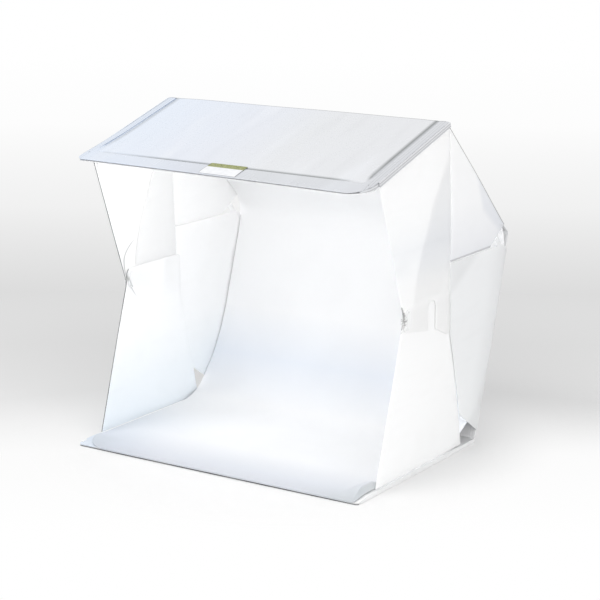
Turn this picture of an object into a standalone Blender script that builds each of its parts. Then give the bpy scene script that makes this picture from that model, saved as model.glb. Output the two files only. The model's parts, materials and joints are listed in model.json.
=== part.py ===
"""Folding light tent: frosted plastic sheets round an open front, under a lit roof.

Seen from the side the tent is a chevron. The base lies flat, the lower back panel leans away from
it, the upper back panel leans forward to the roof, and the roof slopes down to the front. Sheets
hinged to the side edges of these four panels close the two sides. X is to the right, Y to the
back and Z up, and the origin is under the middle of the whole outline.
"""
import bpy
import bmesh
from math import atan2, cos, pi, radians, sin, tan
from mathutils import Matrix, Vector

# Panels
width = 0.230
base_depth = 0.160
lower_back_length = 0.149
upper_back_length = 0.126
roof_depth = 0.1125
lower_back_angle = radians(72.6)
upper_back_angle = radians(136.6)
roof_tilt = radians(16.8)
cover_skin = 0.0009
liner_skin = 0.0006
base_skin = 0.0006
base_core = 0.0012
roof_core = 0.0020
roof_corner_radius = 0.012
base_corner_radius = 0.003
core_inset = 0.0016
lip_run = 0.0125

# Clearances
gap = 0.0003
fold_gap = 0.0008
hinge_clear = 0.00015
overrun = 0.003

# Pressed border of the roof
groove_inset = 0.0085
groove_front_inset = 0.0150
groove_width = 0.0026
groove_depth = 0.0006
crown_height = 0.0006
crown_run = 0.014
edge_round = 0.00025

# Side sheets
sheet = 0.0008
roof_overhang = 0.0170
base_overhang = 0.0240
meet_height = 0.1085
meet_setback = 0.0562
base_wing_top = 0.1170
base_wing_radius = 0.0055
wing_overlap = 0.0066
front_corner_radius = 0.003
knee_setback = 0.1175
knee_height = 0.0872
wing_bend_setback = 0.1002
wing_bend_height = 0.0949
wing_bend_radius = 0.012
wing_lap = 0.003
notch_base_offset = 0.0205
notch_apex_offset = 0.0253
notch_apex_height = 0.0262
notch_back_height = 0.0068
thumb_notch_width = 0.0105
thumb_notch_setback = 0.0925
thumb_notch_height = 0.1165
thumb_notch_round_share = 0.98
lining_thickness = 0.0005
lining_lift = 0.0012
crease_notch_upper = 0.0118
crease_notch_lower = 0.0058
crease_notch_forward = 0.0300
crease_tab_width = 0.0058
crease_tab_forward = 0.0125

# Magnets
magnet_drop = 0.0073
magnet_length = 0.0108
magnet_width = 0.0026
magnet_thickness = 0.0010
magnet_edge = 0.0006
patch_length = 0.0134
patch_width = 0.0066
patch_wall = 0.0006

# Backdrop
backdrop_side_clear = 0.003
backdrop_corner_radius = 0.020
backdrop_thickness = 0.0005
backdrop_top_margin = 0.018
backdrop_lift = 0.0016
backdrop_bend = 0.020
sweep_up = 0.078
sweep_forward = 0.046
fastener_size = 0.018
fastener_thickness = 0.0009
fastener_inset = 0.030
fastener_radius = 0.002

# Lights in the roof
light_bar_margin = 0.020
light_bar_width = 0.008
light_board_thickness = 0.0010
lamp_size = 0.0030
lamp_height = 0.0006
lamp_count = 12
front_light_setback = 0.086
rear_light_setback = 0.042
diffuser_overlap = 0.004
diffuser_width = 0.011
diffuser_stand = 0.0004
diffuser_radius = 0.002
light_slot_clear = 0.0008
lead_width = 0.0030
lead_thickness = 0.0005

# Supply
socket_setback = 0.030
socket_width = 0.0075
socket_depth = 0.0055
socket_wall = 0.00030
socket_tongue = 0.0005
socket_tongue_recess = 0.0009
socket_window_clear = 0.0008
driver_length = 0.016
driver_width = 0.008
driver_thickness = 0.0008
driver_part_height = 0.0008

corner_steps = 6
bend_steps = 8

half_width = width / 2
backdrop_width = width - 2 * backdrop_side_clear
light_bar_length = width - 2 * light_bar_margin
diffuser_length = light_bar_length + 2 * diffuser_overlap
base_top = 2 * base_skin + base_core + 2 * gap
hinge_height = base_top / 2
back_outer = sheet + hinge_clear
rear_reach = (lower_back_length - fold_gap) * cos(lower_back_angle) + back_outer * sin(lower_back_angle)
fold_y = (base_depth - rear_reach) / 2
base_front = fold_y - base_depth


def clear_scene():
    """Remove what the scene already holds."""
    for old in list(bpy.data.objects):
        bpy.data.objects.remove(old, do_unlink=True)


def along(start, angle, distance):
    """Point of the side profile at a distance from start."""
    return (start[0] + distance * cos(angle), start[1] + distance * sin(angle))


base_fold = (fold_y, hinge_height)
crease = along(base_fold, lower_back_angle, lower_back_length)
ridge = along(crease, upper_back_angle, upper_back_length)


def panel_frame(origin, angle):
    """Frame with Y along a panel in the side profile and Z on its upper or inner side."""
    return Matrix.Translation((0, origin[0], origin[1])) @ Matrix.Rotation(angle, 4, "X")


base_frame = panel_frame((fold_y, 0), 0)
lower_frame = panel_frame(base_fold, lower_back_angle)
upper_frame = panel_frame(crease, upper_back_angle)
roof_frame = panel_frame(ridge, roof_tilt)


def in_profile(frame, reach, lift):
    """Side-profile point of a panel's own length and height."""
    point = frame @ Vector((0, reach, lift))
    return (point.y, point.z)


PIVOTS = {
    "base": (0, 0, 0),
    "lower_back": (0, *base_fold),
    "upper_back": (0, *crease),
    "roof": (0, *ridge),
}
for side_name, sign in (("left", -1), ("right", 1)):
    PIVOTS["roof_wing_" + side_name] = (sign * half_width, *in_profile(roof_frame, 0, -gap))
    inner_face = half_width - 2 * sheet - gap
    PIVOTS["base_wing_" + side_name] = (sign * inner_face, fold_y, base_top + gap + backdrop_thickness)
    PIVOTS["upper_flap_" + side_name] = (sign * (half_width - sheet), *crease)
    PIVOTS["lower_flap_" + side_name] = (sign * half_width, *base_fold)

PARENTS = {"lower_back": "base", "upper_back": "lower_back", "roof": "upper_back"}
for side_name in ("left", "right"):
    PARENTS["roof_wing_" + side_name] = "roof"
    PARENTS["base_wing_" + side_name] = "base"
    PARENTS["upper_flap_" + side_name] = "upper_back"
    PARENTS["lower_flap_" + side_name] = "lower_back"


def make_axes():
    """One empty on each fold line, carried by the fold before it."""
    axes = {}
    for body, pivot in PIVOTS.items():
        empty = bpy.data.objects.new(body + "_axis", None)
        bpy.context.collection.objects.link(empty)
        place = Vector(pivot)
        if body in PARENTS:
            empty.parent = axes[PARENTS[body]]
            place = place - Vector(PIVOTS[PARENTS[body]])
        empty.location = place
        axes[body] = empty
    return axes


MATERIALS = {
    "frosted_sheet": ((0.93, 0.94, 0.96), 0.35, 0.0),
    "roof_sheet": ((0.74, 0.78, 0.85), 0.30, 0.0),
    "core_board": ((0.82, 0.82, 0.80), 0.80, 0.0),
    "backdrop_sheet": ((0.95, 0.96, 0.97), 0.55, 0.0),
    "diffuser": ((0.96, 0.96, 0.94), 0.40, 0.0),
    "circuit_board": ((0.86, 0.88, 0.86), 0.45, 0.0),
    "magnet": ((0.30, 0.31, 0.33), 0.30, 1.0),
    "hook_tape": ((0.90, 0.90, 0.91), 0.90, 0.0),
    "socket_metal": ((0.72, 0.72, 0.73), 0.25, 1.0),
    "lead": ((0.85, 0.84, 0.80), 0.50, 0.0),
}


def make_materials():
    """A Principled BSDF for each finish."""
    made = {}
    for name, (colour, roughness, metallic) in MATERIALS.items():
        material = bpy.data.materials.new(name)
        material.use_nodes = True
        shader = material.node_tree.nodes["Principled BSDF"]
        shader.inputs["Base Color"].default_value = (*colour, 1.0)
        shader.inputs["Roughness"].default_value = roughness
        shader.inputs["Metallic"].default_value = metallic
        made[name] = material
    return made


def finish(mesh_data, name, body, material):
    """Turn a bmesh in world places into a named object on its body's axis."""
    bmesh.ops.remove_doubles(mesh_data, verts=mesh_data.verts, dist=overrun / 1000)
    bmesh.ops.recalc_face_normals(mesh_data, faces=mesh_data.faces)
    pivot = Vector(PIVOTS[body])
    bmesh.ops.translate(mesh_data, verts=mesh_data.verts, vec=-pivot)
    mesh = bpy.data.meshes.new(name)
    mesh_data.to_mesh(mesh)
    mesh_data.free()
    mesh.materials.append(materials[material])
    made = bpy.data.objects.new(name, mesh)
    bpy.context.collection.objects.link(made)
    made.parent = axes[body]
    return made


def cut(target, cutter):
    """Take the cutter out of the target, and keep the cutter as a guide only."""
    cutter.hide_render = True
    cutter.display_type = "WIRE"
    change = target.modifiers.new("cut_" + cutter.name, "BOOLEAN")
    change.operation = "DIFFERENCE"
    change.object = cutter


def rounded(corners):
    """Closed outline from (a, b, radius) corners, each radius as an arc."""
    outline = []
    count = len(corners)
    for index, (a, b, radius) in enumerate(corners):
        here = Vector((a, b))
        if radius <= 0:
            outline.append(here)
            continue
        before = Vector(corners[index - 1][:2]) - here
        after = Vector(corners[(index + 1) % count][:2]) - here
        turn = before.angle(after)
        reach = min(radius / tan(turn / 2), before.length / 2, after.length / 2)
        radius = reach * tan(turn / 2)
        middle = here + (before.normalized() + after.normalized()).normalized() * (radius / sin(turn / 2))
        first = here + before.normalized() * reach - middle
        last = here + after.normalized() * reach - middle
        sweep = first.angle_signed(last)
        for step in range(corner_steps + 1):
            turned = Matrix.Rotation(-sweep * step / corner_steps, 2)
            outline.append(middle + turned @ first)
    return outline


def prism(name, outline, low, high, to_world, body, material):
    """Closed solid from an outline swept between two levels, placed by to_world(a, b, level)."""
    shape = bmesh.new()
    bottom = [shape.verts.new(to_world(a, b, low)) for a, b in outline]
    top = [shape.verts.new(to_world(a, b, high)) for a, b in outline]
    shape.faces.new(bottom)
    shape.faces.new(reversed(top))
    for index in range(len(outline)):
        after = (index + 1) % len(outline)
        shape.faces.new((bottom[index], top[index], top[after], bottom[after]))
    return finish(shape, name, body, material)


def plate(name, outline, low, high, frame, body, material):
    """Plate of a panel: the outline is (x, reach) and the levels are heights over the panel."""
    return prism(name, outline, low, high, lambda a, b, level: frame @ Vector((a, b, level)), body, material)


def side_sheet(name, outline, side, outer, thickness, body, material):
    """Sheet in a side wall: the outline is in the side profile, outer is its outer face."""
    return prism(name, outline, side * (outer - thickness), side * outer,
                 lambda a, b, level: Vector((level, a, b)), body, material)


def rectangle(x_low, x_high, y_low, y_high, radius=0):
    """Outline of a rectangle with round corners."""
    return rounded([(x_low, y_low, radius), (x_high, y_low, radius), (x_high, y_high, radius),
                    (x_low, y_high, radius)])


def border_curve(depth, inset, front_inset, corner_radius):
    """Left edge, rounded front and right edge of a panel, drawn in at its sides and front."""
    radius = max(corner_radius - inset, groove_width / 2)
    side = half_width - inset
    front = -depth + front_inset
    points = [Vector((-side, -fold_gap))]
    for centre_x, start in ((-side + radius, pi), (side - radius, 3 * pi / 2)):
        for step in range(corner_steps + 1):
            angle = start + pi / 2 * step / corner_steps
            points.append(Vector((centre_x + radius * cos(angle), front + radius + radius * sin(angle))))
    points.append(Vector((side, -fold_gap)))
    return points


def pressed_skin(name, depth, low, frame, body, material):
    """Top skin of the padded roof, with the groove that welds its border pressed in it."""
    half_groove = groove_width / 2
    border = groove_inset - half_groove
    profile = [
        (0, cover_skin - edge_round),
        (edge_round, cover_skin),
        (border, cover_skin),
        (groove_inset - half_groove / 2, cover_skin - groove_depth),
        (groove_inset + half_groove / 2, cover_skin - groove_depth),
        (groove_inset + half_groove, cover_skin),
        (groove_inset + half_groove + crown_run / 3, cover_skin + crown_height * 2 / 3),
        (groove_inset + half_groove + crown_run, cover_skin + crown_height),
    ]

    def ring(inset):
        widened = (groove_front_inset - groove_inset) * min(inset / border, 1)
        return border_curve(depth, inset, inset + widened, roof_corner_radius)

    shape = bmesh.new()
    rings = [[shape.verts.new(frame @ Vector((point.x, point.y, low + height))) for point in ring(inset)]
             for inset, height in profile]
    under = [shape.verts.new(frame @ Vector((point.x, point.y, low))) for point in ring(0)]
    for outer, inner in zip([under] + rings[:-1], rings):
        for index in range(len(outer) - 1):
            shape.faces.new((outer[index], outer[index + 1], inner[index + 1], inner[index]))
    shape.faces.new(rings[-1])
    shape.faces.new(reversed(under))
    rear = [under[0]] + [edge[0] for edge in rings] + [edge[-1] for edge in reversed(rings)] + [under[-1]]
    shape.faces.new(rear)
    made = finish(shape, name, body, material)
    made.data.shade_smooth()
    made.data.set_sharp_from_angle(angle=radians(35))
    return made


def lipped_skin(name, depth, low, thickness, shift, corner_radius, frame, body, material):
    """Skin whose front strip slopes by shift, to meet the panel's other skin at the front edge."""
    outline = border_curve(depth, 0, 0, corner_radius)
    shape = bmesh.new()
    bottom = [shape.verts.new((point.x, point.y, low)) for point in outline]
    raised = bmesh.ops.extrude_face_region(shape, geom=[shape.faces.new(bottom)], use_keep_orig=True)
    top = [item for item in raised["geom"] if isinstance(item, bmesh.types.BMVert)]
    bmesh.ops.translate(shape, verts=top, vec=(0, 0, thickness))
    lip_line = -depth + lip_run
    everything = shape.verts[:] + shape.edges[:] + shape.faces[:]
    bmesh.ops.bisect_plane(shape, geom=everything, dist=overrun / 1000,
                           plane_co=(0, lip_line, 0), plane_no=(0, 1, 0))
    for corner in shape.verts:
        if corner.co.y < lip_line:
            corner.co.z += shift * (lip_line - corner.co.y) / lip_run
    bmesh.ops.transform(shape, matrix=frame, verts=shape.verts)
    return finish(shape, name, body, material)


def component_board(name, x_span, y_span, low, thickness, parts, part_height, body, material):
    """Board in the roof with raised parts under it, each (x_low, x_high, y_low, y_high)."""
    x_lines = sorted({*x_span, *(x for part in parts for x in part[:2])})
    y_lines = sorted({*y_span, *(y for part in parts for y in part[2:])})
    shape = bmesh.new()
    grid = {}
    for x in x_lines:
        for y in y_lines:
            grid[x, y] = shape.verts.new((x, y, low))
    raised = []
    for x_low, x_high in zip(x_lines, x_lines[1:]):
        for y_low, y_high in zip(y_lines, y_lines[1:]):
            corners = (grid[x_low, y_low], grid[x_low, y_high], grid[x_high, y_high], grid[x_high, y_low])
            face = shape.faces.new(corners)
            middle = face.calc_center_median()
            for part in parts:
                if part[0] < middle.x < part[1] and part[2] < middle.y < part[3]:
                    raised.append(face)
    flat = list(shape.faces)
    whole = bmesh.ops.extrude_face_region(shape, geom=flat, use_keep_orig=True)
    risen = [item for item in whole["geom"] if isinstance(item, bmesh.types.BMVert)]
    bmesh.ops.translate(shape, verts=risen, vec=(0, 0, thickness))
    lamps = bmesh.ops.extrude_face_region(shape, geom=raised)
    bmesh.ops.delete(shape, geom=raised, context="FACES_ONLY")
    dropped = [item for item in lamps["geom"] if isinstance(item, bmesh.types.BMVert)]
    bmesh.ops.translate(shape, verts=dropped, vec=(0, 0, -part_height))
    bmesh.ops.transform(shape, matrix=roof_frame, verts=shape.verts)
    return finish(shape, name, body, material)


def base_pieces():
    """Floor: two skins round a stiff board, welded to a thin edge at the front."""
    plate("base_cover", border_curve(base_depth, 0, 0, base_corner_radius), 0, base_skin, base_frame,
          "base", "frosted_sheet")
    core = border_curve(base_depth, core_inset, lip_run + gap, base_corner_radius)
    low = base_skin + gap
    plate("base_board", core, low, low + base_core, base_frame, "base", "core_board")
    lipped_skin("base_liner", base_depth, low + base_core + gap, base_skin, -base_core - gap,
                base_corner_radius, base_frame, "base", "frosted_sheet")


def back_pieces():
    """Two back panels, with the hook-and-loop squares for the backdrop on the upper one."""
    panel_half = half_width - sheet - 2 * gap
    lower_outline = rectangle(-panel_half, panel_half, fold_gap, lower_back_length - fold_gap,
                              front_corner_radius)
    plate("lower_back_panel", lower_outline, -back_outer, -hinge_clear, lower_frame, "lower_back",
          "frosted_sheet")
    upper_outline = rectangle(-panel_half, panel_half, fold_gap, upper_back_length - fold_gap,
                              front_corner_radius)
    plate("upper_back_panel", upper_outline, -back_outer, -hinge_clear, upper_frame, "upper_back",
          "frosted_sheet")
    reach_high = upper_back_length - backdrop_top_margin - gap
    for side_name, side in (("left", -1), ("right", 1)):
        middle = side * (backdrop_width / 2 - fastener_inset)
        outline = rectangle(middle - fastener_size / 2, middle + fastener_size / 2,
                            reach_high - fastener_size, reach_high, fastener_radius)
        plate("backdrop_fastener_" + side_name, outline, gap - hinge_clear,
              gap - hinge_clear + fastener_thickness, upper_frame, "upper_back", "hook_tape")


def bend_points(start, control, end):
    """Even points of a soft bend from start to end, drawn towards control."""
    points = []
    for step in range(1, bend_steps):
        share = step / bend_steps
        points.append(tuple((1 - share) ** 2 * a + 2 * share * (1 - share) * b + share ** 2 * c
                            for a, b, c in zip(start, control, end)))
    return points


def meeting_point(first, first_angle, second, second_angle):
    """Where two lines of the side profile cross."""
    run = (second[0] - first[0], second[1] - first[1])
    scale = sin(second_angle - first_angle)
    distance = (run[0] * sin(second_angle) - run[1] * cos(second_angle)) / scale
    return along(first, first_angle, distance)


def backdrop_route():
    """Side profile of the backdrop's middle, from the floor's front edge to its top."""
    lift = gap - hinge_clear + fastener_thickness + gap + backdrop_thickness / 2
    floor_level = base_top + gap + backdrop_thickness / 2
    floor_start = (base_front + gap, floor_level - base_core - gap)
    lip_end = (base_front + lip_run, floor_level)
    floor_end = (fold_y - sweep_forward, floor_level)
    wall_start = in_profile(lower_frame, sweep_up, backdrop_lift)
    wall_end = in_profile(lower_frame, lower_back_length - backdrop_bend, backdrop_lift)
    slope_start = in_profile(upper_frame, backdrop_bend, lift)
    slope_end = in_profile(upper_frame, upper_back_length - backdrop_top_margin, lift)
    sweep = meeting_point(floor_end, 0, wall_start, lower_back_angle)
    bend = meeting_point(wall_end, lower_back_angle, slope_start, upper_back_angle)
    return [floor_start, lip_end, floor_end, *bend_points(floor_end, sweep, wall_start), wall_start, wall_end,
            *bend_points(wall_end, bend, slope_start), slope_start, slope_end]


def offset_route(route, distance):
    """Route moved sideways by a distance, to its left."""
    moved = []
    for index, point in enumerate(route):
        before = route[max(index - 1, 0)]
        after = route[min(index + 1, len(route) - 1)]
        heading = atan2(after[1] - before[1], after[0] - before[0])
        moved.append((point[0] - distance * sin(heading), point[1] + distance * cos(heading)))
    return moved


def backdrop_piece():
    """Loose sheet that sweeps from the floor up the back, with its front corners rounded."""
    route = backdrop_route()
    half = backdrop_thickness / 2
    outline = offset_route(route, half) + list(reversed(offset_route(route, -half)))
    half_sheet = backdrop_width / 2
    backdrop = prism("backdrop_sheet", outline, -half_sheet, half_sheet,
                     lambda a, b, level: Vector((level, a, b)), "base", "backdrop_sheet")
    front = -base_depth + gap
    radius = backdrop_corner_radius
    for side_name, side in (("left", -1), ("right", 1)):
        waste = [Vector((side * (half_sheet + overrun), front - overrun)),
                 Vector((side * (half_sheet + overrun), front + radius))]
        for step in range(corner_steps + 1):
            angle = pi / 2 * step / corner_steps
            waste.append(Vector((side * (half_sheet - radius + radius * cos(angle)),
                                 front + radius - radius * sin(angle))))
        waste.append(Vector((side * (half_sheet - radius), front - overrun)))
        cut(backdrop, plate("corner_guide_" + side_name, waste, base_skin, base_top + overrun,
                            base_frame, "base", "backdrop_sheet"))


def roof_pieces():
    """Lit roof: two skins round a board, with lights behind frosted windows."""
    board_low = liner_skin + gap
    board_high = board_low + roof_core
    liner = lipped_skin("roof_liner", roof_depth, 0, liner_skin, roof_core + gap, roof_corner_radius,
                        roof_frame, "roof", "roof_sheet")
    core = border_curve(roof_depth, core_inset, lip_run + gap, roof_corner_radius)
    board = plate("roof_board", core, board_low, board_high, roof_frame, "roof", "core_board")
    pressed_skin("roof_cover", roof_depth, board_high + gap, roof_frame, "roof", "roof_sheet")

    light_half = light_bar_length / 2
    board_top = board_high
    board_base = board_top - light_board_thickness
    for row, setback in (("front", front_light_setback), ("rear", rear_light_setback)):
        window_half = diffuser_length / 2 + gap
        window = rectangle(-window_half, window_half, -setback - diffuser_width / 2 - gap,
                           -setback + diffuser_width / 2 + gap, diffuser_radius + gap)
        cut(liner, plate("window_guide_" + row, window, -overrun, liner_skin + gap / 2, roof_frame,
                         "roof", "roof_sheet"))
        pane = rectangle(-diffuser_length / 2, diffuser_length / 2, -setback - diffuser_width / 2,
                         -setback + diffuser_width / 2, diffuser_radius)
        plate("diffuser_" + row, pane, -diffuser_stand, liner_skin, roof_frame, "roof", "diffuser")
        slot_half = light_bar_width / 2 + light_slot_clear / 2
        slot = rectangle(-light_half - gap, light_half + gap, -setback - slot_half, -setback + slot_half)
        cut(board, plate("light_slot_guide_" + row, slot, board_low - overrun, board_high + overrun,
                         roof_frame, "roof", "core_board"))
        spacing = light_bar_length / lamp_count
        lamps = []
        for number in range(lamp_count):
            middle = -light_half + spacing * (number + 1 / 2)
            lamps.append((middle - lamp_size / 2, middle + lamp_size / 2,
                          -setback - lamp_size / 2, -setback + lamp_size / 2))
        component_board("led_board_" + row, (-light_half, light_half),
                        (-setback - light_bar_width / 2, -setback + light_bar_width / 2),
                        board_base, light_board_thickness, lamps, lamp_height, "roof", "circuit_board")

    lead_outer = -light_half - gap - lead_width
    lead_low = board_base + gap
    lead_front = -front_light_setback - light_bar_width / 2
    lead_rear = -rear_light_setback + light_bar_width / 2
    lead_run = rectangle(lead_outer, lead_outer + lead_width, lead_front, lead_rear)
    plate("led_lead", lead_run, lead_low, lead_low + lead_thickness, roof_frame, "roof", "lead")
    channel = rectangle(lead_outer - gap, -light_half, lead_front - gap, lead_rear + gap)
    cut(board, plate("lead_channel_guide", channel, board_low - overrun, board_high + overrun,
                     roof_frame, "roof", "core_board"))
    driver_pieces(board, board_low, board_high, lead_outer)
    roof_strips(board_low, board_high)


def roof_strips(board_low, board_high):
    """Welded strips over the roof's side edges, from which the wings hang."""
    top = board_high + gap + cover_skin - edge_round
    outline = [in_profile(roof_frame, -roof_depth + roof_overhang, edge_round),
               in_profile(roof_frame, -fold_gap, edge_round),
               in_profile(roof_frame, -fold_gap, top),
               in_profile(roof_frame, -roof_depth + roof_overhang, top)]
    outer = half_width + gap + sheet
    for side_name, side in (("left", -1), ("right", 1)):
        strip = side_sheet("roof_strip_" + side_name, outline, side, outer, sheet, "roof", "roof_sheet")
        if side < 0:
            half_window = socket_width / 2 + socket_window_clear
            window = [in_profile(roof_frame, reach, level) for reach, level in (
                (-socket_setback - half_window, board_low), (-socket_setback + half_window, board_low),
                (-socket_setback + half_window, board_high), (-socket_setback - half_window, board_high))]
            cut(strip, side_sheet("socket_window_guide", window, side, outer + overrun,
                                  sheet + 2 * overrun, "roof", "roof_sheet"))


def driver_pieces(board, board_low, board_high, lead_outer):
    """Supply board beside the lead, and the power socket in the roof's left edge."""
    driver_high = lead_outer - gap
    driver_low = driver_high - driver_width
    rear = -socket_setback + driver_length / 2
    front = -socket_setback - driver_length / 2
    part_length = driver_length / 5
    part_width = driver_width / 4
    parts = [
        (driver_low + part_width, driver_low + 2 * part_width, front + part_length, front + 2 * part_length),
        (driver_low + 2 * part_width, driver_high - part_width / 2, rear - 2 * part_length,
         rear - part_length / 2),
    ]
    component_board("driver_board", (driver_low, driver_high), (front, rear),
                    board_high - driver_thickness, driver_thickness, parts, driver_part_height,
                    "roof", "circuit_board")
    pocket = rectangle(driver_low - gap, lead_outer, front - gap, rear + gap)
    cut(board, plate("driver_pocket_guide", pocket, board_low - overrun, board_high + overrun,
                     roof_frame, "roof", "core_board"))

    mouth = -half_width + core_inset / 4
    back = mouth + socket_depth
    low_y = -socket_setback - socket_width / 2
    high_y = -socket_setback + socket_width / 2
    shell = plate("usb_socket", rectangle(mouth, back, low_y, high_y), board_low, board_high,
                  roof_frame, "roof", "socket_metal")
    middle = (board_low + board_high) / 2
    inner_low = board_low + socket_wall
    inner_high = board_high - socket_wall
    tongue_low = middle - socket_tongue / 2
    tongue_high = middle + socket_tongue / 2
    tongue_start = mouth + socket_tongue_recess
    deep = back - socket_wall
    hollow = [(mouth - overrun, inner_low), (deep, inner_low), (deep, tongue_low), (tongue_start, tongue_low),
              (tongue_start, tongue_high), (deep, tongue_high), (deep, inner_high),
              (mouth - overrun, inner_high)]
    cut(shell, prism("socket_hollow_guide", hollow, low_y + socket_wall, high_y - socket_wall,
                     lambda a, b, level: roof_frame @ Vector((a, level, b)), "roof", "socket_metal"))
    bay = rectangle(-half_width - overrun, driver_low, low_y - gap, high_y + gap)
    cut(board, plate("socket_bay_guide", bay, board_low - overrun, board_high + overrun,
                     roof_frame, "roof", "core_board"))


def side_lines():
    """Named points of the side walls in the side profile."""
    knee = (base_front + knee_setback, knee_height)
    ridge_point = in_profile(roof_frame, -fold_gap, -gap)
    return {
        "roof_front": in_profile(roof_frame, -roof_depth + roof_overhang, -gap),
        "ridge": ridge_point,
        "meet": (base_front + meet_setback, meet_height),
        "base_front": (base_front + base_overhang, PIVOTS["base_wing_left"][2]),
        "knee": knee,
        "rear_angle": atan2(ridge_point[1] - knee[1], ridge_point[0] - knee[0]),
        "notch_apex": (fold_y - notch_apex_offset, notch_apex_height),
    }


def rear_line_at(points, height, shift):
    """Point of the line from the knee to the ridge at a height, moved back by shift."""
    run = (height - points["knee"][1]) / tan(points["rear_angle"])
    return (points["knee"][0] + run + shift, height)


def roof_wing(side_name, side, points):
    """Wing that hangs from the roof's side edge, with a thumb notch in its lower edge."""
    body = "roof_wing_" + side_name
    meet = points["meet"]
    lower_front = (meet[0], meet[1] - wing_overlap)
    knee = points["knee"]
    outline = rounded([
        (*points["roof_front"], front_corner_radius),
        (*meet, 0),
        (*lower_front, front_corner_radius),
        (base_front + wing_bend_setback, wing_bend_height, wing_bend_radius),
        (*knee, front_corner_radius),
        (*points["ridge"], 0),
    ])
    wing = side_sheet(body, outline, side, half_width, sheet, body, "frosted_sheet")
    notch_middle = base_front + thumb_notch_setback
    half_notch = thumb_notch_width / 2
    notch_round = half_notch * thumb_notch_round_share
    notch = rounded([
        (notch_middle - half_notch, knee_height - overrun, 0),
        (notch_middle + half_notch, knee_height - overrun, 0),
        (notch_middle + half_notch, thumb_notch_height, notch_round),
        (notch_middle - half_notch, thumb_notch_height, notch_round),
    ])
    guide = side_sheet("thumb_notch_guide_" + side_name, notch, side, half_width + overrun,
                       sheet + 2 * overrun, body, "frosted_sheet")
    cut(wing, guide)


def roof_wing_lining(side_name, side, points):
    """Second layer inside the roof wing, with a free diagonal front edge."""
    body = "roof_wing_" + side_name
    low = base_wing_top + lining_lift
    ridge_point = points["ridge"]
    meet = points["meet"]
    drop = ridge_point[1] - meet[1]
    run = ridge_point[0] - meet[0]
    top_share = 0.86
    edge_shares = [(0.59, 0.60), (0.36, 0.37), (0.24, 0.22)]
    foot_share = 0.18
    diagonal = [(meet[0] + run * across, meet[1] + drop * up) for across, up in edge_shares]
    outline = [
        rear_line_at(points, meet[1] + drop * top_share, -fold_gap),
        *diagonal,
        (meet[0] + run * foot_share, low),
        rear_line_at(points, low, -fold_gap),
    ]
    outer = half_width - sheet - gap
    side_sheet("roof_wing_lining_" + side_name, outline, side, outer, lining_thickness, body,
               "frosted_sheet")


def base_wing(side_name, side, points):
    """Wing that stands on the base's side edge, inside the roof wing."""
    body = "base_wing_" + side_name
    meet = points["meet"]
    front = points["base_front"]
    knee = points["knee"]
    apex = points["notch_apex"]
    outline = rounded([
        (*front, 0),
        (fold_y - notch_base_offset, front[1], 0),
        (*apex, 0),
        (knee[0] + wing_lap, knee[1], 0),
        (*rear_line_at(points, base_wing_top, wing_lap), front_corner_radius),
        (meet[0], base_wing_top, base_wing_radius),
        (*meet, 0),
    ])
    side_sheet(body, outline, side, half_width - sheet - gap, sheet, body, "frosted_sheet")


def upper_flap(side_name, side, points):
    """Three-cornered flap on the upper back panel, with its corner at the crease trimmed."""
    body = "upper_flap_" + side_name
    level = crease[1] - crease_notch_lower + fold_gap / 2
    start = in_profile(upper_frame, upper_back_length - fold_gap, gap)
    end = in_profile(upper_frame, crease_notch_upper, gap)
    outline = rounded([
        (*rear_line_at(points, start[1], fold_gap), 0),
        (*rear_line_at(points, level, fold_gap), front_corner_radius / 2),
        (crease[0] - crease_notch_forward, level, 0),
        (*end, 0),
        (*start, 0),
    ])
    side_sheet(body, outline, side, half_width, sheet, body, "frosted_sheet")


def lower_flap(side_name, side, points):
    """Flap on the lower back panel, with a tab that reaches up past the crease notch."""
    body = "lower_flap_" + side_name
    knee = points["knee"]
    apex = points["notch_apex"]
    top = crease[1] - crease_notch_lower - fold_gap / 2
    bottom = in_profile(lower_frame, notch_back_height / sin(lower_back_angle), gap)
    high = in_profile(lower_frame, lower_back_length - 2 * crease_notch_lower, gap)
    flap_trim = in_profile(upper_frame, crease_notch_upper, gap)
    trim_start = (crease[0] - crease_notch_forward, crease[1] - crease_notch_lower)
    trim_angle = atan2(flap_trim[1] - trim_start[1], flap_trim[0] - trim_start[0])
    tab_left = (crease[0] - crease_tab_forward - crease_tab_width, top)
    tab_right = (crease[0] - crease_tab_forward, top)
    tab_angle = trim_angle + pi / 2
    clearance = along(trim_start, tab_angle - pi, fold_gap)
    tab_left_top = meeting_point(tab_left, tab_angle, clearance, trim_angle)
    tab_right_top = meeting_point(tab_right, tab_angle, clearance, trim_angle)
    outline = rounded([
        (*bottom, 0),
        (*high, 0),
        (crease[0] - crease_tab_forward + crease_tab_width / 2, top, 0),
        (*tab_right, 0),
        (*tab_right_top, 0),
        (*tab_left_top, 0),
        (*tab_left, 0),
        (*rear_line_at(points, top, fold_gap), 0),
        (*rear_line_at(points, knee[1], fold_gap), 0),
        (apex[0] + fold_gap, apex[1], 0),
    ])
    side_sheet(body, outline, side, half_width, sheet, body, "frosted_sheet")


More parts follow.
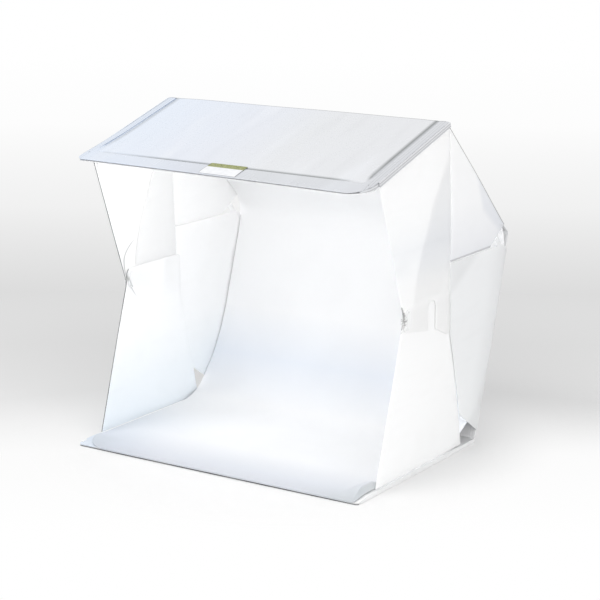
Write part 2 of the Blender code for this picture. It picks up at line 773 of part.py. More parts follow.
def magnet_pair(kind, side_name, side, points, outer):
    """Round-ended bar magnet in its patch, on a wing at the front edge where the wings meet."""
    body = kind + "_" + side_name
    front = points["meet"][0] + magnet_edge
    middle = base_wing_top - magnet_drop
    low = middle - patch_length / 2
    high = middle + patch_length / 2
    patch = rectangle(front, front + patch_width, low, high, patch_width / 2)
    pocket = side_sheet(kind + "_patch_" + side_name, patch, side, outer, magnet_thickness, body,
                        "frosted_sheet")
    bar_front = front + patch_wall + gap
    bar_low = middle - magnet_length / 2
    bar_high = middle + magnet_length / 2
    slot = rectangle(bar_front - gap, bar_front + magnet_width + gap, bar_low - gap, bar_high + gap,
                     magnet_width / 2 + gap)
    cut(pocket, side_sheet(kind + "_magnet_guide_" + side_name, slot, side, outer + overrun,
                           magnet_thickness + 2 * overrun, body, "frosted_sheet"))
    bar = rectangle(bar_front, bar_front + magnet_width, bar_low, bar_high, magnet_width / 2)
    side_sheet(kind + "_magnet_" + side_name, bar, side, outer, magnet_thickness, body, "magnet")


def side_pieces():
    """The four sheets of each side wall and their magnets."""
    points = side_lines()
    for side_name, side in (("left", -1), ("right", 1)):
        roof_wing(side_name, side, points)
        roof_wing_lining(side_name, side, points)
        base_wing(side_name, side, points)
        upper_flap(side_name, side, points)
        lower_flap(side_name, side, points)
        magnet_pair("roof_wing", side_name, side, points, half_width + gap + magnet_thickness)
        magnet_pair("base_wing", side_name, side, points, half_width - 2 * sheet - 2 * gap)


clear_scene()
axes = make_axes()
materials = make_materials()
base_pieces()
back_pieces()
backdrop_piece()
roof_pieces()
side_pieces()
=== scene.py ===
"""Looks of a small folding light tent: frosted sheets, a pressed glossy roof, lamps and a white backdrop."""
import json
from math import atan2, cos, exp, hypot, pi, radians, sin, sqrt

import bpy
from mathutils import Matrix, Vector

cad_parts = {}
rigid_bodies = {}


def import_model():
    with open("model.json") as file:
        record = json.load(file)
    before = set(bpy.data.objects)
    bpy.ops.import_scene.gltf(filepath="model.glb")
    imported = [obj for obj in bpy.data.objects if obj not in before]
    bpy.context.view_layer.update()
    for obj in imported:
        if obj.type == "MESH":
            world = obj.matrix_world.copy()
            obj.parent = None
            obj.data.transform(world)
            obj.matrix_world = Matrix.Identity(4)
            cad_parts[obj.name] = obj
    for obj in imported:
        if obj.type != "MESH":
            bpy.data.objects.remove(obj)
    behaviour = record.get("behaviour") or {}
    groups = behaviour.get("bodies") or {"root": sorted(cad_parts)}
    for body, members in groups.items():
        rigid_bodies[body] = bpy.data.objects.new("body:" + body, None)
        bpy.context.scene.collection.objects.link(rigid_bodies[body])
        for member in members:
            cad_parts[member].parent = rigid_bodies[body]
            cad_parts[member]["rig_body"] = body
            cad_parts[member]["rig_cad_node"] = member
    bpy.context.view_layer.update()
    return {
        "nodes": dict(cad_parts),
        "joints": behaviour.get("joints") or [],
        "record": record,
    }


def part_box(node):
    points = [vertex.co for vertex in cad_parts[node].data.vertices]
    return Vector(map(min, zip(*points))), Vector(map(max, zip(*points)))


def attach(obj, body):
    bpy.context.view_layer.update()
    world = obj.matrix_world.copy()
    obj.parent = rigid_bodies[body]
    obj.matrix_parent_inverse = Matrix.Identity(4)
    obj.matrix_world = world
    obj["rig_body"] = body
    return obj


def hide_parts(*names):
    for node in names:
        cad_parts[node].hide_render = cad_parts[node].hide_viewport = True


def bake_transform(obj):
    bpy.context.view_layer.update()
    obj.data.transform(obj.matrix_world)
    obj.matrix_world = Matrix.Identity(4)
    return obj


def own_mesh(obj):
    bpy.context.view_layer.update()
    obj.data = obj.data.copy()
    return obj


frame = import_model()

mm = 0.001
SIDES = (("left", -1), ("right", 1))
ALONG_X, ALONG_Y, ALONG_Z = (1, 0, 0), (0, 1, 0), (0, 0, 1)

# Sizes that the part is built to
half_width = 115 * mm
roof_depth = 112.5 * mm
roof_tilt = radians(16.8)
lower_back_angle = radians(72.6)
upper_back_angle = radians(136.6)
lower_back_length = 149 * mm
upper_back_length = 126 * mm
fold_gap = 0.8 * mm


def joint_place(name):
    """Pivot of a joint, as a vector."""
    return next(Vector(joint["pos_m"]) for joint in frame["joints"] if joint["name"] == name)


base_fold = joint_place("fold")
crease = joint_place("crease")
ridge = joint_place("roof_hinge")
base_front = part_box("base_cover")[0].y


def panel_frame(origin, angle):
    """Frame with Y along a panel in the side profile and Z on its upper or inner side."""
    return Matrix.Translation((0, origin.y, origin.z)) @ Matrix.Rotation(angle, 4, "X")


roof_frame = panel_frame(ridge, roof_tilt)
lower_frame = panel_frame(base_fold, lower_back_angle)
upper_frame = panel_frame(crease, upper_back_angle)


def clamp(share):
    """Keep a share between 0 and 1."""
    return min(max(share, 0.0), 1.0)


def ease(share):
    """Soft step from 0 to 1."""
    share = clamp(share)
    return share * share * (3 - 2 * share)


def grow(value, start, run):
    """Soft step from 0 at a start to 1 after a run, both in mm."""
    return ease((value - start * mm) / (run * mm))


# Camera, at the photograph's viewing angle
PHOTO_SIZE = 600
FOCAL_PIXELS = 1874.5
SENSOR = 36
AXIS_PIXEL = (315.9, 278.7)
camera_target = Vector((0, 26.3 * mm, 110.2 * mm))
camera_azimuth = radians(32.54)
camera_elevation = radians(12.64)
camera_distance = 1338.7 * mm
camera_roll = radians(0.24)
camera_clip = 10 * mm


def add_camera():
    """Long lens at the front right, a little above the roof's front edge."""
    away = Vector((sin(camera_azimuth) * cos(camera_elevation),
                   -cos(camera_azimuth) * cos(camera_elevation),
                   sin(camera_elevation)))
    bpy.ops.object.camera_add(location=camera_target + away * camera_distance)
    camera = bpy.context.object
    camera.rotation_mode = "QUATERNION"
    aim = (-away).to_track_quat("-Z", "Y")
    camera.rotation_quaternion = aim @ Matrix.Rotation(camera_roll, 3, "Z").to_quaternion()
    camera.data.sensor_width = SENSOR
    camera.data.lens = FOCAL_PIXELS / PHOTO_SIZE * SENSOR
    camera.data.shift_x = (PHOTO_SIZE / 2 - AXIS_PIXEL[0]) / PHOTO_SIZE
    camera.data.shift_y = (AXIS_PIXEL[1] - PHOTO_SIZE / 2) / PHOTO_SIZE
    camera.data.clip_start = camera_clip
    bpy.context.scene.camera = camera


# Materials
MIX_SHARE, MIX_FIRST, MIX_SECOND, MIX_RESULT = 0, 6, 7, 2      # sockets of a node that mixes colours


def tint(colour):
    """A colour, also from a bare grey level."""
    return colour if isinstance(colour, tuple) else (colour, colour, colour)


class Nodes:
    """Short calls that build a node tree."""

    def __init__(self, tree):
        self.tree = tree

    def give(self, socket, value):
        """Feed a socket with a link, a colour or a plain value."""
        if isinstance(value, bpy.types.NodeSocket):
            self.tree.links.new(value, socket)
        elif socket.type == "RGBA":
            socket.default_value = (*value, 1)
        else:
            socket.default_value = value

    def feed(self, node, **sockets):
        """Feed a node's sockets by name."""
        for socket, value in sockets.items():
            self.give(node.inputs[socket.replace("_", " ")], value)

    def node(self, kind, **sockets):
        """Add a node and feed its sockets."""
        node = self.tree.nodes.new("ShaderNode" + kind)
        self.feed(node, **sockets)
        return node

    def reckon(self, operation, *values):
        """Arithmetic on one or two values."""
        node = self.node("Math")
        node.operation = operation
        for socket, value in zip(node.inputs, values):
            self.give(socket, value)
        return node.outputs["Value"]

    def seen_directly(self):
        """One for what the camera, reflections and glass see, none for light on the object."""
        path = self.node("LightPath").outputs
        seen = self.reckon("MAXIMUM", path["Is Camera Ray"], path["Is Glossy Ray"])
        return self.reckon("MAXIMUM", seen, path["Is Transmission Ray"])


class Finish(Nodes):
    """A Principled material and short calls for what shapes it."""

    def __init__(self, name, colour, roughness):
        self.material = bpy.data.materials.new(name)
        self.material.use_nodes = True
        super().__init__(self.material.node_tree)
        self.shader = self.tree.nodes["Principled BSDF"]
        self.set(Base_Color=colour, Roughness=roughness)
        self.coords = self.node("TexCoord").outputs["Object"]

    def set(self, **sockets):
        """Feed sockets of the shader."""
        self.feed(self.shader, **sockets)

    def placed(self, scale=(1, 1, 1), turn=(0, 0, 0)):
        """Object coordinates, turned and stretched."""
        return self.node("Mapping", Vector=self.coords, Scale=scale, Rotation=turn).outputs["Vector"]

    def panel(self, angle, origin):
        """Coordinates turned level with a panel, and a point of the panel in them."""
        return self.placed(turn=(-angle, 0, 0)), Matrix.Rotation(-angle, 3, "X") @ origin

    def axis(self, letter, coords=None):
        """One coordinate of the object's own place."""
        return self.node("SeparateXYZ", Vector=coords or self.coords).outputs[letter]

    def noise(self, size, detail=2, coords=None):
        """Noise with features of about one size, in metres."""
        node = self.node("TexNoise", Vector=coords or self.coords, Scale=1 / size, Detail=detail)
        return node.outputs["Fac"]

    def attribute(self, name):
        """A value painted on the piece's own points."""
        node = self.node("Attribute")
        node.attribute_name = name
        return node.outputs["Fac"]

    def minus(self, first, second):
        return self.reckon("SUBTRACT", first, second)

    def times(self, first, second):
        return self.reckon("MULTIPLY", first, second)

    def off(self, value, middle):
        """How far a value is from a middle, either way."""
        return self.reckon("ABSOLUTE", self.minus(value, middle))

    def spread(self, value, low, high, to_low=0.0, to_high=1.0):
        """Map a range of a value onto another range."""
        return self.node("MapRange", Value=value, From_Min=low, From_Max=high,
                         To_Min=to_low, To_Max=to_high).outputs["Result"]

    def smooth(self, *values):
        """Map a range as spread does, with soft ends."""
        result = self.spread(*values)
        result.node.interpolation_type = "SMOOTHSTEP"
        return result

    def past(self, letter, none, full):
        """Grow from none to one between two places along an axis, in mm."""
        return self.smooth(self.axis(letter), none * mm, full * mm)

    def band(self, value, middle, half):
        """One at the middle of a band, none past its edges."""
        return self.smooth(self.off(value, middle), 0, half, 1.0, 0.0)

    def ramp(self, value, stops):
        """Colours or greys placed along a value."""
        node = self.node("ValToRGB", Fac=value)
        band = node.color_ramp
        while len(band.elements) < len(stops):
            band.elements.new(0.5)
        for element, (place, colour) in zip(band.elements, stops):
            element.position = place
            element.color = (*tint(colour), 1)
        return node.outputs["Color"]

    def blend(self, first, second, share, mode="MIX"):
        """Mix two colours by a value or a fixed share."""
        node = self.node("Mix")
        node.data_type = "RGBA"
        node.blend_type = mode
        for index, value in ((MIX_SHARE, share), (MIX_FIRST, first), (MIX_SECOND, second)):
            self.give(node.inputs[index], value)
        return node.outputs[MIX_RESULT]

    def shaded(self, colour, shades):
        """Multiply a colour by greys or tints, each where its mask is one."""
        for mask, factor in shades:
            share = mask(self) if callable(mask) else mask
            colour = self.blend(colour, self.blend(colour, tint(factor), 1.0, "MULTIPLY"), share)
        return colour

    def bump(self, *layers):
        """Stack bump layers, each (height, strength, depth in metres)."""
        last = None
        for height, strength, depth in layers:
            node = self.node("Bump", Height=height, Strength=strength, Distance=depth)
            if last:
                self.give(node.inputs["Normal"], last)
            last = node.outputs["Normal"]
        self.set(Normal=last)


# Frosted sheets
cloud_size = 38 * mm
streak_size = 9 * mm
wave_size = 60 * mm
sheet_grain = 0.5 * mm
glow_depth = 1.6 * mm


def frosted(name, span, stops, shades=()):
    """Frosted plastic: tints up a span of height in mm and darker places, which carry painted light and
    shade, then clouds, streaks and a grain.
    """
    finish = Finish(name, (0.90, 0.92, 0.95), 0.42)
    height = finish.spread(finish.axis("Z"), span[0] * mm, span[1] * mm)
    clouds = finish.smooth(finish.noise(cloud_size), 0.50, 0.75)
    slanting = finish.placed(scale=(1, 0.18, 1), turn=(radians(28), 0, 0))
    streaks = finish.smooth(finish.noise(streak_size, coords=slanting), 0.52, 0.80)
    colour = finish.shaded(finish.ramp(height, stops), [*shades, (clouds, 0.975), (streaks, 0.985)])
    finish.set(Base_Color=colour, Roughness=finish.spread(finish.noise(6 * mm), 0.3, 0.7, 0.36, 0.48),
               Subsurface_Weight=0.5, Subsurface_Scale=glow_depth, Subsurface_Radius=(1.0, 1.0, 1.0))
    finish.bump((finish.noise(wave_size, 1), 0.5, 0.9 * mm), (finish.noise(sheet_grain, 1), 0.12, 0.05 * mm))
    return finish.material


# Height and Y of the points of the second layer's diagonal edge, in mm
lining_edge = [(107, -46), (124.6, -34.5), (137.5, -32), (152.5, -26), (180, -13), (208, 9.3)]


def lining_line(finish):
    """How far a point lies behind the diagonal edge of the second layer, in metres."""
    low, high, reach = 100 * mm, 212 * mm, 60 * mm
    stops = [((z * mm - low) / (high - low), (y * mm + reach) / (2 * reach)) for z, y in lining_edge]
    shares = finish.ramp(finish.spread(finish.axis("Z"), low, high), stops)
    return finish.minus(finish.axis("Y"), finish.minus(finish.times(shares, 2 * reach), reach))


def lining_shade(finish):
    """One where painted shade falls, where the second layer lies behind the sheet, fading out low down."""
    behind = finish.smooth(lining_line(finish), -6 * mm, 6 * mm)
    return finish.times(behind, finish.past("Z", 120, 160))


def single_layer_shade(finish):
    """One where the sheet has no second layer behind it, for painted shade that brings it down to the lined
    part.
    """
    return finish.smooth(lining_line(finish), 5 * mm, -5 * mm)


def flap_rear_shade(finish):
    """One in the wedge of painted shade along the rear of the upper flap, behind the backdrop."""
    placed, start = finish.panel(upper_back_angle, crease)
    up = finish.spread(finish.axis("Y", placed), start.y, start.y + upper_back_length)
    widest = 20
    wedge = [(0.0, 9), (0.14, 9.5), (0.37, 13.4), (0.60, 1), (0.7, 0)]
    width = finish.times(finish.ramp(up, [(place, width / widest) for place, width in wedge]), widest * mm)
    away = finish.minus(finish.axis("Z", placed), start.z)
    return finish.smooth(finish.minus(width, away), -2 * mm, 5 * mm)


def flap_foot_shadow(finish):
    """One on a thin line of painted shadow along the lower edge of the upper flap."""
    return finish.past("Z", 140.2, 139.0)


def over_line(angle, origin, none, full):
    """Mask that grows from none to one between two distances from a sloping line, in mm."""
    def mask(finish):
        placed, start = finish.panel(angle, origin)
        return finish.smooth(finish.axis("Z", placed), start.z + none * mm, start.z + full * mm)
    return mask


# Painted shade along the rear edges of both flaps, and painted shadow of the upper flap above the diagonal
# from the lower flap's front up to the crease
flap_edge_shade = over_line(upper_back_angle, crease, 1.3, 0.7)
back_edge_shade = over_line(lower_back_angle, base_fold, 26, 2)
under_flap_shadow = over_line(atan2(26.5, 49), Vector((0, 5.2 * mm, 109.6 * mm)), -3, 5)

# Where the curved line of painted shade leaves the left wing's front edge, and how fast it bends away below
# and above
curl_shade_height, curl_shade_front = 122.4 * mm, -49.1 * mm
curl_shade_bend_below, curl_shade_bend_above = 16.5, 63.3


def curl_shade(finish):
    """One on a faint curved line of painted shade, where the sheets curl apart, that leaves the left wing's
    front edge at its magnet.
    """
    above = finish.minus(finish.axis("Z"), curl_shade_height)
    bend = finish.smooth(above, -1 * mm, 1 * mm, curl_shade_bend_below, curl_shade_bend_above)
    curve = finish.times(finish.times(above, above), bend)
    behind = finish.minus(finish.minus(finish.axis("Y"), curl_shade_front), curve)
    fade = finish.smooth(curve, 15 * mm, 7 * mm)
    return finish.times(finish.band(behind, 0.6 * mm, 1.1 * mm), fade)


# Size of the feathered lens of painted shade where the right wings part at the magnets
lens_half_height, lens_reach = 7.0 * mm, 2.3 * mm
lens_feather, lens_forward, lens_fade = 0.9 * mm, 1.6 * mm, 1.9 * mm


def magnet_gap_shade(finish):
    """One on a feathered lens of painted shade at the right wings' front edge, where the sheets part at the
    magnets.
    """
    low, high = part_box("roof_wing_patch_right")
    up = finish.reckon("DIVIDE", finish.minus(finish.axis("Z"), (low.z + high.z) / 2), lens_half_height)
    reach = finish.times(finish.minus(1.0, finish.times(up, up)), lens_reach)
    barbs = finish.noise(1.1 * mm, coords=finish.placed(scale=(1, 0.45, 1)))
    ragged = finish.spread(barbs, 0.3, 0.7, -lens_feather, lens_feather)
    back = finish.minus(finish.axis("Y"), low.y - lens_forward)
    return finish.smooth(finish.minus(finish.reckon("ADD", reach, ragged), back), 0.0, lens_fade)


def front_tip_shade(finish):
    """One where painted shade falls at the floor's front left corner, beside the backdrop."""
    return finish.times(finish.past("X", -94, -104), finish.past("Y", -74, -86))


def weld_line_shade(finish):
    """One on the thin pressed weld lines near the side edges of a panel, their darkness painted shade."""
    away = finish.off(finish.axis("X"), 0)
    return finish.reckon("ADD", *(finish.band(away, place * mm, 0.35 * mm) for place in (111.6, 109.4)))


# The left sheets are seen from inside, with painted bluish shade towards the floor; the right ones are seen
# from outside
low_shade_tones = [(0.0, (0.80, 0.855, 0.91)), (0.22, (0.84, 0.885, 0.925)), (0.5, (0.94, 0.955, 0.97)),
             (1.0, (0.985, 0.986, 0.988))]
high_tones = [(0.0, 0.985), (1.0, 0.99)]
# The tints up each right sheet and the darker places listed with them are painted light and shade
side_looks = {
    "roof_wing_left": ((90, 230), high_tones, [(single_layer_shade, 0.90), (curl_shade, 0.55)]),
    "roof_wing_right": (
        (90, 230),
        [(0.0, 0.99), (0.26, (0.985, 0.987, 0.99)), (0.36, (0.915, 0.927, 0.945)),
         (0.47, (0.872, 0.887, 0.91)), (0.585, (0.93, 0.94, 0.955)), (0.70, (0.965, 0.968, 0.975)),
         (1.0, 0.985)],
        [(lining_shade, (0.95, 0.955, 0.97)), (magnet_gap_shade, 0.36)]),
    "base_wing_left": ((3, 140), low_shade_tones, [(curl_shade, 0.60)]),
    "base_wing_right": (
        (3, 117),
        [(0.0, (0.975, 0.98, 0.98)), (0.5, 0.992), (0.85, (0.975, 0.976, 0.978)),
         (1.0, (0.955, 0.958, 0.962))],
        [(magnet_gap_shade, 0.36)]),
    "upper_flap_left": ((138, 230), high_tones),
    "upper_flap_right": (
        (138, 230),
        [(0.0, (0.81, 0.82, 0.85)), (0.4, (0.92, 0.925, 0.945)), (1.0, 0.985)],
        [(flap_rear_shade, (0.87, 0.88, 0.90)), (flap_edge_shade, 0.40), (flap_foot_shadow, 0.66)]),
    "lower_flap_left": ((3, 140), low_shade_tones),
    "lower_flap_right": (
        (8, 146),
        [(0.0, (0.87, 0.885, 0.89)), (0.5, (0.84, 0.85, 0.86)), (1.0, (0.84, 0.85, 0.86))],
        [(under_flap_shadow, 0.91), (back_edge_shade, 0.92)]),
}
side_finishes = {name: frosted(name, *look) for name, look in side_looks.items()}
plain_sheet = frosted("plain_sheet", (0, 230),
                      [(0.0, (0.965, 0.967, 0.97)), (0.05, (0.93, 0.935, 0.95)), (1.0, (0.93, 0.94, 0.955))],
                      [(weld_line_shade, 0.86)])
# The floor liner gets painted bluish shade at its front left corner
floor_liner = frosted("floor_liner", (0, 3), [(0.0, 0.93), (1.0, (0.93, 0.94, 0.95))],
                      [(front_tip_shade, (0.70, 0.77, 0.87))])
film_finish = frosted("hinge_film", (0, 230), [(0.0, (0.88, 0.895, 0.92)), (1.0, (0.92, 0.93, 0.945))])


# The roof's skin
def painted(name):
    """Mask from a value painted on the piece's points."""
    return lambda finish: finish.attribute(name)


def right_border_shade(finish):
    """One on the raised border for more painted shade there, fading to none at the roof's left."""
    return finish.times(finish.attribute("border"), finish.past("X", -80, 10))


def edge_line(inset):
    """Mask of a thin welded line at an inset from the roof's side edges, in mm."""
    return lambda finish: finish.band(finish.off(finish.axis("X"), 0), half_width - inset * mm, 0.45 * mm)


def strip_line(level):
    """Mask of a thin welded line along the roof's side strips, at a level in mm."""
    def mask(finish):
        placed, start = finish.panel(roof_tilt, ridge)
        return finish.band(finish.axis("Z", placed), start.z + level * mm, 0.5 * mm)
    return mask


def roof_skin(name, shades):
    """Glossy welded sheet, bluish at the left and greyer at the right, with wide lighter diagonal streaks of
    painted sheen.
    """
    finish = Finish(name, (0.74, 0.78, 0.85), 0.24)
    across = finish.spread(finish.axis("X"), -half_width, half_width)
    colour = finish.ramp(across, [(0.0, (0.69, 0.756, 0.86)), (0.4, (0.709, 0.737, 0.803)),
                                  (0.62, (0.709, 0.723, 0.747)), (1.0, (0.704, 0.713, 0.737))])
    slanting = finish.placed(scale=(1, 0.16, 0.16), turn=(0, 0, radians(24)))
    # Wide lighter streaks: painted sheen
    broad_sheen = finish.smooth(finish.noise(26 * mm, coords=slanting), 0.47, 0.78, 0.0, 0.55)
    fine = finish.smooth(finish.noise(9 * mm, 1, slanting), 0.48, 0.80)
    colour = finish.shaded(finish.blend(colour, (0.813, 0.832, 0.87), broad_sheen), [(fine, 0.97), *shades])
    finish.set(Base_Color=colour, Roughness=finish.spread(finish.noise(9 * mm), 0.3, 0.7, 0.20, 0.30),
               Coat_Weight=0.2, Coat_Roughness=0.15)
    waves = finish.noise(wave_size, 1, finish.placed(scale=(1, 0.35, 1)))
    finish.bump((waves, 0.5, 0.6 * mm), (finish.noise(3 * mm, 1), 0.015, 0.05 * mm))
    return finish.material


# Painted shade on the raised border, more at its right, along the rim and in the pressed line, beside two
# thin welded lines
roof_sheet = roof_skin("roof_sheet", [
    (painted("border"), (0.94, 0.95, 0.965)), (right_border_shade, 0.92), (edge_line(2.2), 0.80),
    (edge_line(4.2), 0.80), (painted("rim"), 0.55), (painted("groove"), (0.30, 0.315, 0.31))])
strip_finish = roof_skin("strip_sheet", [(strip_line(1.15), 0.62), (strip_line(2.75), 0.62)])


# Other finishes
def grain(size, detail, stretch):
    """Pattern of stretched noise, its size in mm."""
    return lambda finish: finish.noise(size * mm, detail, finish.placed(scale=stretch))


def texture(kind, output, size):
    """Pattern of one plain texture, its size in mm."""
    return lambda finish: finish.node(kind, Vector=finish.coords, Scale=1 / (size * mm)).outputs[output]


def patterned(name, colour, roughness, pattern, stops, strength, depth, **sockets):
    """Surface with one pattern that gives both its tints and its relief, the depth in mm."""
    finish = Finish(name, colour, roughness)
    value = pattern(finish)
    finish.set(Base_Color=finish.ramp(value, stops), **sockets)
    finish.bump((value, strength, depth * mm))
    return finish.material


def painted_edge_shade():
    """Cut edge of the sheets, painted dark grey in patches: painted shade and shadow."""
    finish = Finish("painted_edge_shade", (0.26, 0.27, 0.28), 0.6)
    patches = finish.noise(14 * mm)
    finish.set(Base_Color=finish.ramp(patches, [(0.35, (0.08, 0.085, 0.09)), (0.65, (0.24, 0.245, 0.25))]))
    finish.bump((finish.noise(1.5 * mm, 1), 0.2, 0.05 * mm))
    return finish.material


def backdrop_sheet():
    """Matt white flexible sheet, with painted bluish shade at its front edge, where it sweeps up, at its
    left front and at its corners.
    """
    finish = Finish("backdrop_sheet", (0.93, 0.945, 0.965), 0.6)
    along = finish.attribute("along")
    # Painted shade along the sheet: darker at its front edge, greyer across the floor and bluer where it
    # sweeps up
    colour = finish.ramp(along, [
        (0.0, (0.58, 0.60, 0.65)), (0.03, (0.64, 0.665, 0.715)), (0.12, (0.79, 0.80, 0.82)),
        (0.20, (0.82, 0.828, 0.84)), (0.34, (0.86, 0.866, 0.878)), (0.445, (0.79, 0.828, 0.89)),
        (0.54, (0.93, 0.935, 0.945)), (1.0, (0.97, 0.97, 0.972))])
    left_front_shade = finish.times(finish.past("X", -40, -112), finish.smooth(along, 0.30, 0.16))
    clouds = finish.smooth(finish.noise(60 * mm), 0.45, 0.75)
    finish.set(Base_Color=finish.shaded(colour, [
        (left_front_shade, (0.90, 0.93, 0.965)), (painted("tip"), (0.91, 0.925, 0.90)), (clouds, 0.975)]))
    finish.bump((finish.noise(90 * mm, 1), 0.4, 1.0 * mm), (finish.noise(0.4 * mm, 1), 0.15, 0.04 * mm))
    return finish.material


label_middle, label_half = 2.5 * mm, 14.5 * mm
label_rear, label_front = 96 * mm, 111.6 * mm


def sticker_film():
    """Plain label film: a yellow-green band along its rear and a white field with thin grey ends."""
    finish = Finish("sticker_film", (0.85, 0.86, 0.88), 0.32)
    placed, start = finish.panel(roof_tilt, ridge)
    setback = finish.minus(start.y, finish.axis("Y", placed))
    field = finish.ramp(finish.noise(3 * mm), [(0.3, (0.80, 0.81, 0.84)), (0.7, (0.88, 0.89, 0.91))])
    band = finish.ramp(finish.noise(1.1 * mm), [(0.35, (0.17, 0.19, 0.05)), (0.65, (0.34, 0.37, 0.11))])
    colour = finish.blend(field, band, finish.smooth(setback, 101.8 * mm, 101.4 * mm))
    ends = finish.smooth(finish.off(finish.axis("X"), label_middle), 13.9 * mm, 14.4 * mm)
    finish.set(Base_Color=finish.shaded(colour, [(ends, 0.45)]))
    finish.bump((finish.noise(0.6 * mm, 1), 0.1, 0.03 * mm))
    return finish.material


def pocket_film():
    """Pale film over a magnet, with a dark lens of painted shade at the sheet's front edge."""
    finish = Finish("pocket_film", (0.90, 0.91, 0.93), 0.35)
    finish.set(Base_Color=finish.blend((0.95, 0.955, 0.96), (0.33, 0.34, 0.35), magnet_gap_shade(finish)),
               Coat_Weight=0.3)
    finish.bump((finish.noise(1.0 * mm, 1), 0.1, 0.05 * mm))
    return finish.material


# White lacquered board with faint tracks
board_finish = patterned("circuit_board", (0.86, 0.88, 0.86), 0.35, grain(4, 0, (0.3, 1, 1)),
                         [(0.48, (0.88, 0.89, 0.87)), (0.52, (0.80, 0.83, 0.80))], 0.3, 0.05)
finishes = {
    "frosted_sheet": plain_sheet,
    "roof_sheet": roof_sheet,
    # Grey-white pressed board with a fibrous surface
    "core_board": patterned("core_board", (0.80, 0.80, 0.79), 0.85, grain(1.2, 4, (1, 0.2, 1)),
                            [(0.35, (0.74, 0.74, 0.73)), (0.65, (0.84, 0.84, 0.83))], 0.3, 0.1),
    "backdrop_sheet": backdrop_sheet(),
    # Ribbed frosted strip, lit from behind
    "diffuser": patterned("lit_diffuser", (0.95, 0.95, 0.94), 0.35, texture("TexWave", "Fac", 6.3),
                          [(0.3, 0.90), (0.7, 0.97)], 0.4, 0.2,
                          Emission_Color=(1.0, 0.99, 0.97), Emission_Strength=6.2),
    "circuit_board": board_finish,
    # Nickel-plated bar with fine grinding lines
    "magnet": patterned("magnet_plate", (0.10, 0.105, 0.115), 0.35, grain(0.6, 2, (1, 1, 0.1)),
                        [(0.3, (0.08, 0.085, 0.095)), (0.7, (0.16, 0.165, 0.175))], 0.2, 0.03, Metallic=0.6),
    # Woven tape covered with fine hooks
    "hook_tape": patterned("hook_tape", (0.86, 0.86, 0.87), 0.9, texture("TexVoronoi", "Distance", 0.9),
                           [(0.1, (0.95, 0.95, 0.955)), (0.6, (0.84, 0.84, 0.855))], 0.7, 0.3),
    # Folded steel shell, lightly brushed
    "socket_metal": patterned("socket_metal", (0.66, 0.66, 0.68), 0.28, grain(0.5, 2, (0.1, 1, 1)),
                              [(0.3, (0.60, 0.60, 0.62)), (0.7, (0.74, 0.74, 0.76))], 0.2, 0.02,
                              Metallic=1.0),
    "lead": board_finish,
}
edge_shade_finish = painted_edge_shade()
pocket_finish = pocket_film()
sticker_finish = sticker_film()
finish_for_node = {"base_liner": floor_liner}
for side_name, side in SIDES:
    finish_for_node["roof_strip_" + side_name] = strip_finish
    for kind in ("magnet_", "patch_"):
        finish_for_node["roof_wing_" + kind + side_name] = pocket_finish
        finish_for_node["base_wing_" + kind + side_name] = side_finishes["base_wing_" + side_name]


def dress(piece, finish):
    """Give a piece one finish all over."""
    piece.data.materials.clear()
    piece.data.materials.append(finish)


def dress_nodes():
    """Give each node of the frame its finish."""
    slots = {row["node"]: row["material_slot"] for row in frame["record"]["subparts"]}
    for name, node in frame["nodes"].items():
        dress(node, finish_for_node.get(name, finishes[slots[name]]))


# Modelling
merge_distance = 0.002 * mm
sliver = 0.005 * mm


def select_only(piece):
    """Make one piece the only selected and active one."""
    bpy.ops.object.select_all(action="DESELECT")
    piece.select_set(True)
    bpy.context.view_layer.objects.active = piece


def select_all():
    """Select the whole mesh in edit mode."""
    bpy.ops.mesh.select_all(action="SELECT")


def edit(piece):
    """Go into a piece's edit mode with its whole mesh selected."""
    select_only(piece)
    bpy.ops.object.mode_set(mode="EDIT")
    select_all()


def leave_edit():
    """Go back to object mode."""
    bpy.ops.object.mode_set(mode="OBJECT")


def start_piece(name, half_size, middle, primitive=bpy.ops.mesh.primitive_plane_add):
    """Add a primitive at its size and place, and stay in its edit mode."""
    bpy.ops.object.select_all(action="DESELECT")
    primitive(size=2, location=(0, 0, 0))
    piece = bpy.context.object
    piece.name = name
    edit(piece)
    bpy.ops.transform.resize(value=half_size, center_override=(0, 0, 0))
    bpy.ops.transform.translate(value=middle)
    return piece


def round_corners(piece, radius, segments, chosen):
    """Round the corners of a flat sheet whose points a test names."""
    bpy.ops.mesh.select_all(action="DESELECT")
    leave_edit()
    for point in piece.data.vertices:
        point.select = chosen(point.co)
    bpy.ops.object.mode_set(mode="EDIT")
    bpy.ops.mesh.bevel(offset=radius, segments=segments, affect="VERTICES", clamp_overlap=False)


def slice_across(piece, normal, places):
    """Cut a piece along parallel planes, so that it can bend."""
    edit(piece)
    for place in places:
        bpy.ops.mesh.bisect(plane_co=tuple(Vector(normal) * place), plane_no=normal)
        select_all()
    bpy.ops.mesh.remove_doubles(threshold=sliver)
    leave_edit()


def steps(low, high, most):
    """Even places between two ends, no further apart than most."""
    count = int((high - low) / most) + 1
    return [low + (high - low) * step / count for step in range(1, count)]


def merged_copy(node_name, ending):
    """Copy of a node with its loose triangles merged into whole faces."""
    select_only(frame["nodes"][node_name])
    bpy.ops.object.duplicate()
    piece = bpy.context.object
    piece.name = node_name + ending
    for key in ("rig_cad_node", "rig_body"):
        del piece[key]
    bpy.ops.object.parent_clear(type="CLEAR_KEEP_TRANSFORM")
    edit(piece)
    bpy.ops.mesh.remove_doubles(threshold=merge_distance)
    bpy.ops.mesh.dissolve_limited(angle_limit=radians(0.5))
    leave_edit()
    return piece


def apply_modifier(piece, kind, **values):
    """Add a modifier and apply it."""
    select_only(piece)
    modifier = piece.modifiers.new(kind.lower(), kind)
    for key, value in values.items():
        setattr(modifier, key, value)
    bpy.ops.object.modifier_apply(modifier=modifier.name)


